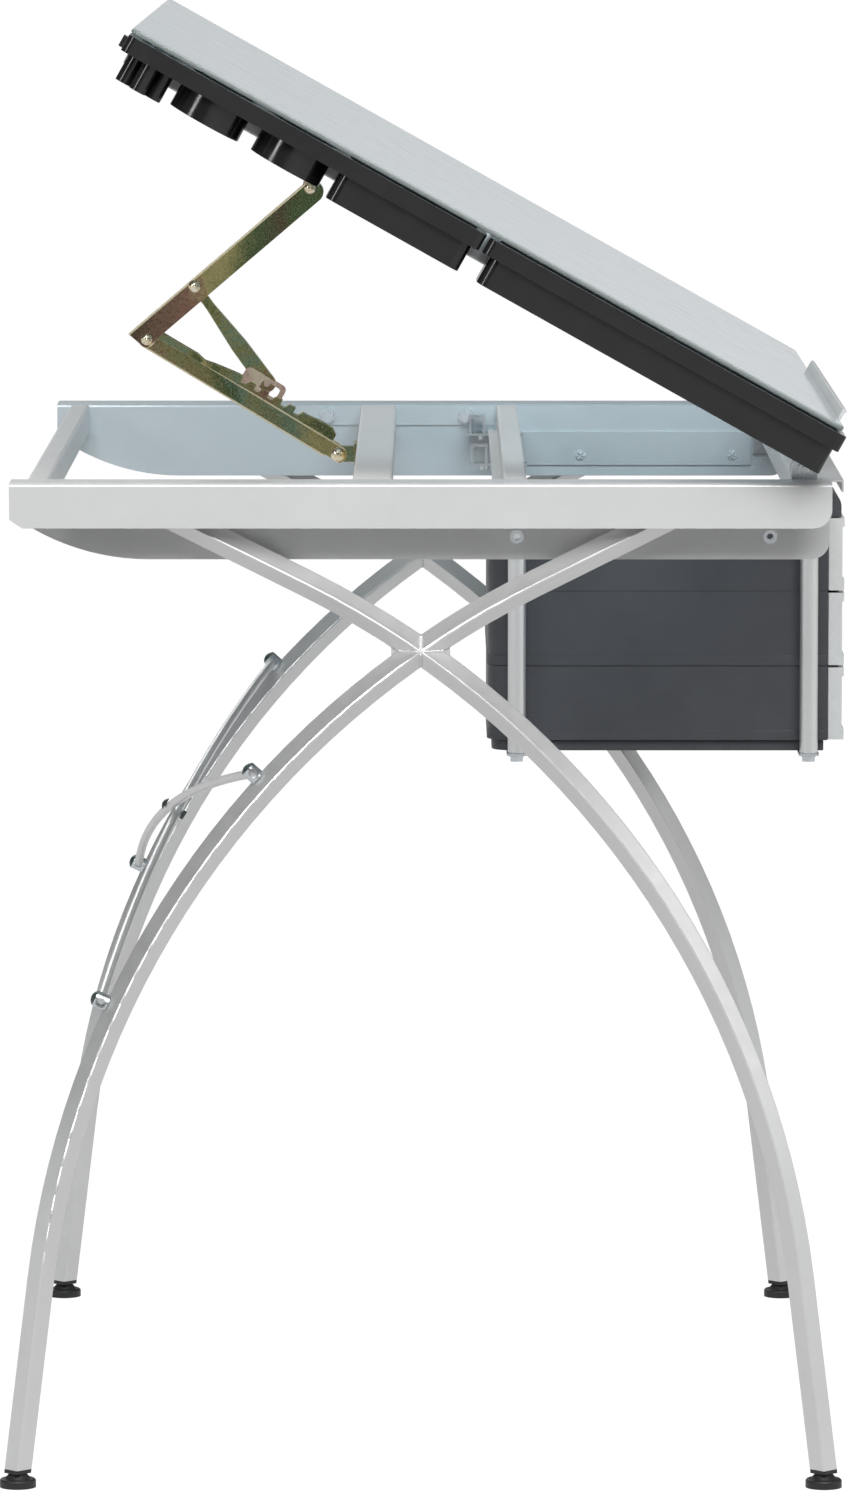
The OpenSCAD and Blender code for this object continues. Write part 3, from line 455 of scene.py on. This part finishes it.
def add_tube(work, points, radii, sides=10, closed=False):
    """A round bead along points; its ends close to a point."""
    rings = []
    count = len(points)
    for i, (point, radius) in enumerate(zip(points, radii)):
        ahead = points[(i + 1) % count] if closed or i + 1 < count else point
        behind = points[i - 1] if closed or i > 0 else point
        along = (ahead - behind).normalized()
        side = along.orthogonal().normalized()
        if rings and not closed:
            side = (last_side - along * last_side.dot(along)).normalized()
        last_side = side
        other = along.cross(side)
        ring = []
        for k in range(sides):
            a = 2 * math.pi * k / sides
            ring.append(work.verts.new(point + (side * math.cos(a) + other * math.sin(a)) * radius))
        rings.append(ring)
    spans = list(zip(rings, rings[1:]))
    if closed:
        spans.append((rings[-1], rings[0]))
    for first, second in spans:
        for k in range(sides):
            j = (k + 1) % sides
            work.faces.new((first[k], first[j], second[j], second[k]))
    if not closed:
        for ring, point in ((rings[0], points[0]), (rings[-1], points[-1])):
            tip = work.verts.new(point)
            for k in range(sides):
                work.faces.new((ring[k], ring[(k + 1) % sides], tip))


def bead_radii(count, radius):
    """The overlapping ripples of a weld bead."""
    radii = []
    for i in range(count):
        ripple = 0.5 + 0.5 * math.cos(2 * math.pi * (i % 4) / 4)
        ends = min(1.0, (i + 1) / 3, (count - i) / 3)
        radii.append(radius * ends * (0.84 + 0.16 * ripple + random.uniform(-0.05, 0.05)))
    return radii


def add_bead(work, start, end, radius):
    count = max(10, int((end - start).length / (0.45 * MM)))
    points = []
    for i in range(count):
        sway = Vector([random.uniform(-1, 1) for _ in range(3)]) * radius * 0.06
        points.append(start.lerp(end, i / (count - 1)) + sway)
    add_tube(work, points, bead_radii(count, radius))


# Beads in the four valleys where each pair of legs crosses
LEG_HALF = 10.1 * MM
CROSS_Z = 631.5 * MM
CROSS_HALF_ANGLE = math.radians(34.86)
BEAD_RADIUS = 1.5 * MM


def crossing_beads(side):
    low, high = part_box(("left" if side < 0 else "right") + "_front_leg")
    leg_x = (low.x + high.x) / 2

    def build(work):
        reach = {
            (0, 1, 0): LEG_HALF / math.sin(CROSS_HALF_ANGLE),
            (0, 0, 1): LEG_HALF / math.cos(CROSS_HALF_ANGLE),
        }
        for direction, length in reach.items():
            for sign in (-1, 1):
                for face in (-1, 1):
                    centre = Vector((leg_x, 0, CROSS_Z))
                    outward = Vector((face * LEG_HALF * 0.93, 0, 0))
                    start = centre + outward + Vector(direction) * sign * 1.2 * MM
                    end = centre + Vector(direction) * sign * length * 0.97
                    end.x = leg_x + face * LEG_HALF * 0.06
                    add_bead(work, start, end, BEAD_RADIUS)

    return mesh_from(build, "crossing_beads")


for side, label in ((-1, "left"), (1, "right")):
    add_piece(label + "_crossing_weld", crossing_beads(side), "frame", weld_look)


def rim_loop(node, axis, side, depth=0.1 * MM):
    """The outline of a part's end face: its outermost points at one end along an axis, in order."""
    corners = [v.co.copy() for v in nodes[node].data.vertices]
    limit = max(side * c[axis] for c in corners)
    ends = [c for c in corners if side * c[axis] > limit - depth]
    middle = sum(ends, Vector()) / len(ends)
    u, v = [k for k in range(3) if k != axis]
    by_angle = {}
    for c in ends:
        angle = round(math.degrees(math.atan2(c[v] - middle[v], c[u] - middle[u])) / 6)
        if angle not in by_angle or (c - middle).length > (by_angle[angle] - middle).length:
            by_angle[angle] = c
    return [by_angle[a] for a in sorted(by_angle)]


def even_points(loop, step):
    """Points at an even spacing round a closed outline."""
    points = []
    for first, second in zip(loop, loop[1:] + loop[:1]):
        count = max(1, round((second - first).length / step))
        points += [first.lerp(second, i / count) for i in range(count)]
    return points


def top_weld(node):
    """A bead round the top of a leg, where it meets the bar over it."""
    loop = even_points(rim_loop(node, 2, 1), 0.9 * MM)

    def build(work):
        middle = sum(loop, Vector()) / len(loop)
        points = [middle + (p - middle) * 1.02 - Vector((0, 0, 0.3 * MM)) for p in loop]
        waves = [0.9 + 0.12 * math.cos(2 * math.pi * i / 4) for i in range(len(points))]
        radii = [BEAD_RADIUS * wave for wave in waves]
        add_tube(work, points, radii, closed=True)

    return mesh_from(build, node + "_top_weld")


for node in ("left_front_leg", "left_rear_leg", "right_front_leg", "right_rear_leg"):
    add_piece(node + "_top_weld", top_weld(node), "frame", weld_look)


def add_screw_head(work, centre, axis, radius, height, rings=26, spokes=72):
    """A domed head that stands on centre along axis, with a cross recess."""
    axis = axis.normalized()
    side = axis.orthogonal().normalized()
    other = axis.cross(side)
    ball = (radius**2 + height**2) / (2 * height)
    grid = []
    for i in range(rings + 1):
        r = radius * i / rings
        row = []
        for k in range(1 if i == 0 else spokes):
            a = 2 * math.pi * k / spokes
            x, y = r * math.cos(a), r * math.sin(a)
            z = math.sqrt(ball**2 - r**2) - (ball - height)
            arm = radius * 0.15
            reach = radius * 0.6
            slot_x = max(0.0, 1 - (abs(y) / arm) ** 4) * max(0.0, 1 - (abs(x) / reach) ** 3)
            slot_y = max(0.0, 1 - (abs(x) / arm) ** 4) * max(0.0, 1 - (abs(y) / reach) ** 3)
            z -= height * 0.6 * max(slot_x, slot_y) ** 0.5
            row.append(work.verts.new(centre + side * x + other * y + axis * z))
        grid.append(row)
    skirt = [work.verts.new(v.co - axis * 0.5 * MM) for v in grid[-1]]
    foot = work.verts.new(centre - axis * 0.5 * MM)
    for k in range(spokes):
        j = (k + 1) % spokes
        work.faces.new((grid[0][0], grid[1][k], grid[1][j]))
        for i in range(1, rings):
            work.faces.new((grid[i][k], grid[i + 1][k], grid[i + 1][j], grid[i][j]))
        work.faces.new((grid[-1][k], skirt[k], skirt[j], grid[-1][j]))
        work.faces.new((skirt[k], foot, skirt[j]))


def islands(node):
    """The boxes of a node's separate solids, from its mesh."""
    mesh = nodes[node].data
    work = bmesh.new()
    work.from_mesh(mesh)
    bmesh.ops.remove_doubles(work, verts=work.verts, dist=1e-6)
    boxes, seen = [], set()
    for start in work.verts:
        if start in seen:
            continue
        group, stack = [], [start]
        seen.add(start)
        while stack:
            v = stack.pop()
            group.append(v.co.copy())
            for e in v.link_edges:
                w = e.other_vert(v)
                if w not in seen:
                    seen.add(w)
                    stack.append(w)
        low = Vector([min(c[k] for c in group) for k in range(3)])
        high = Vector([max(c[k] for c in group) for k in range(3)])
        boxes.append((low, high))
    work.free()
    return boxes


def strip_screw_set():
    """The screws in the strips: each stands where the frame's own one does."""
    head_height = 2.6 * MM
    shank_radius = 2.45 * MM

    def build(work):
        for low, high in islands("strip_screws"):
            foot = Vector((low.x + head_height, (low.y + high.y) / 2, (low.z + high.z) / 2))
            tip = Vector((high.x, foot.y, foot.z))
            add_screw_head(work, foot, -ACROSS, (high.y - low.y) / 2, head_height)
            add_tube(work, [foot, tip], [shank_radius, shank_radius], 24)

    return mesh_from(build, "strip_screw_set")


screw_set = add_piece("strip_screw_set", strip_screw_set(), "frame", screw_look)
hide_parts("strip_screws")


# ---- floor, light and camera ----


def ray_only(tree, kind, value):
    """The value for rays of one kind, and nothing for the rest."""
    path = tree.nodes.new("ShaderNodeLightPath")
    made = tree.nodes.new("ShaderNodeMath")
    made.operation = "MULTIPLY"
    made.inputs[1].default_value = value
    tree.links.new(path.outputs[kind], made.inputs[0])
    return made.outputs[0]


FLOOR_HALF = 150
FLOOR_Z = -0.0003  # just under the pads, so that the two don't share a plane


def pale_floor():
    look = Look("pale_floor", Roughness=0.9, Specular_IOR_Level=0.1)
    tone = look.spread(look.noise(0.8, 3), 0.3, 0.7, 0, 1)
    look.set("Base Color", look.mix(tone, (0.10, 0.10, 0.10), (0.12, 0.12, 0.12)))
    look.set("Emission Color", (1, 1, 1, 1))
    seen = ray_only(look.tree, "Is Camera Ray", 1.0)
    mirrored = ray_only(look.tree, "Is Glossy Ray", 0.62)
    look.set("Emission Strength", look.math("ADD", seen, mirrored))

    def build(work):
        bmesh.ops.create_grid(work, x_segments=2, y_segments=2, size=FLOOR_HALF)

    mesh = mesh_from(build, "floor")
    floor = bpy.data.objects.new("floor", mesh)
    floor.location.z = FLOOR_Z
    mesh.materials.append(look.material)
    bpy.context.scene.collection.objects.link(floor)


# Brightness of the room's walls by height, from the horizon to the top, and by X, from the camera's side
SKY_BY_HEIGHT = ((0.0, 0.90), (0.06, 0.74), (0.20, 0.10), (1.0, 0.12))
SKY_BY_X = ((0.0, 0.10), (0.28, 1.0), (0.8, 1.0), (1.0, 0.80))
SKY_TINT = (0.985, 1.01, 1.03)


def soft_world():
    """A room that is bright round the horizon, dimmer above and dark behind the camera."""
    world = bpy.data.worlds.new("studio")
    bpy.context.scene.world = world
    world.use_nodes = True
    tree = world.node_tree
    coords = tree.nodes.new("ShaderNodeTexCoord")
    split = tree.nodes.new("ShaderNodeSeparateXYZ")
    tree.links.new(coords.outputs["Generated"], split.inputs[0])

    def graded(factor, stops, tint=(1, 1, 1)):
        ramp = tree.nodes.new("ShaderNodeValToRGB")
        tree.links.new(factor, ramp.inputs["Fac"])
        ends = ramp.color_ramp.elements
        while len(ends) < len(stops):
            ends.new(0.5)
        for element, (position, level) in zip(ends, stops):
            element.position = position
            element.color = (*(level * t for t in tint), 1)
        return ramp.outputs["Color"]

    across = tree.nodes.new("ShaderNodeMapRange")
    across.inputs["From Min"].default_value = -1
    tree.links.new(split.outputs["X"], across.inputs["Value"])
    height = graded(split.outputs["Z"], SKY_BY_HEIGHT, SKY_TINT)
    round_about = graded(across.outputs["Result"], SKY_BY_X)
    both = tree.nodes.new("ShaderNodeMix")
    both.data_type = "RGBA"
    both.blend_type = "MULTIPLY"
    both.inputs[0].default_value = 1.0
    tree.links.new(height, both.inputs[6])
    tree.links.new(round_about, both.inputs[7])
    background = tree.nodes["Background"]
    tree.links.new(both.outputs[2], background.inputs["Color"])
    lift = tree.nodes.new("ShaderNodeMath")
    lift.inputs[0].default_value = 1.0
    tree.links.new(ray_only(tree, "Is Camera Ray", 1.0), lift.inputs[1])
    tree.links.new(lift.outputs[0], background.inputs["Strength"])


def soft_light(name, place, target, size, power):
    data = bpy.data.lights.new(name, "AREA")
    data.shape = "RECTANGLE"
    data.size, data.size_y = size
    data.energy = power
    lamp = bpy.data.objects.new(name, data)
    lamp.location = place
    lamp.rotation_euler = (Vector(target) - Vector(place)).to_track_quat("-Z", "Y").to_euler()
    lamp.visible_camera = False
    bpy.context.scene.collection.objects.link(lamp)


# The photo's camera: it stands beyond the table's left side, looks along +X and a little down
CAMERA_PLACE = (-7.059, -0.011, 1.275)
CAMERA_DOWN = 6.177
CAMERA_TURN = 0.077
LENS = 214.8
SENSOR_WIDTH = 36


def photo_camera():
    data = bpy.data.cameras.new("camera")
    data.sensor_width = SENSOR_WIDTH
    data.lens = LENS
    data.clip_end = 500
    camera = bpy.data.objects.new("camera", data)
    camera.location = CAMERA_PLACE
    camera.rotation_euler = (math.radians(90 - CAMERA_DOWN), 0, math.radians(CAMERA_TURN - 90))
    bpy.context.scene.collection.objects.link(camera)
    bpy.context.scene.camera = camera


pale_floor()
soft_world()
MIDDLE = (0, 0, 0.6)
soft_light("key_box", (-4.6, -0.7, 4.8), MIDDLE, (5.2, 3.6), 350)
soft_light("cup_strip", (-4.2, 4.1, 2.6), (0, 0.1, 1.0), (0.7, 1.8), 42)
soft_light("user_box", (-1.5, -5.0, 2.4), MIDDLE, (3.4, 3.0), 35)
soft_light("far_box", (5.5, 2.0, 4.0), MIDDLE, (3.0, 2.0), 60)
photo_camera()
bpy.context.scene.view_settings.view_transform = "Standard"
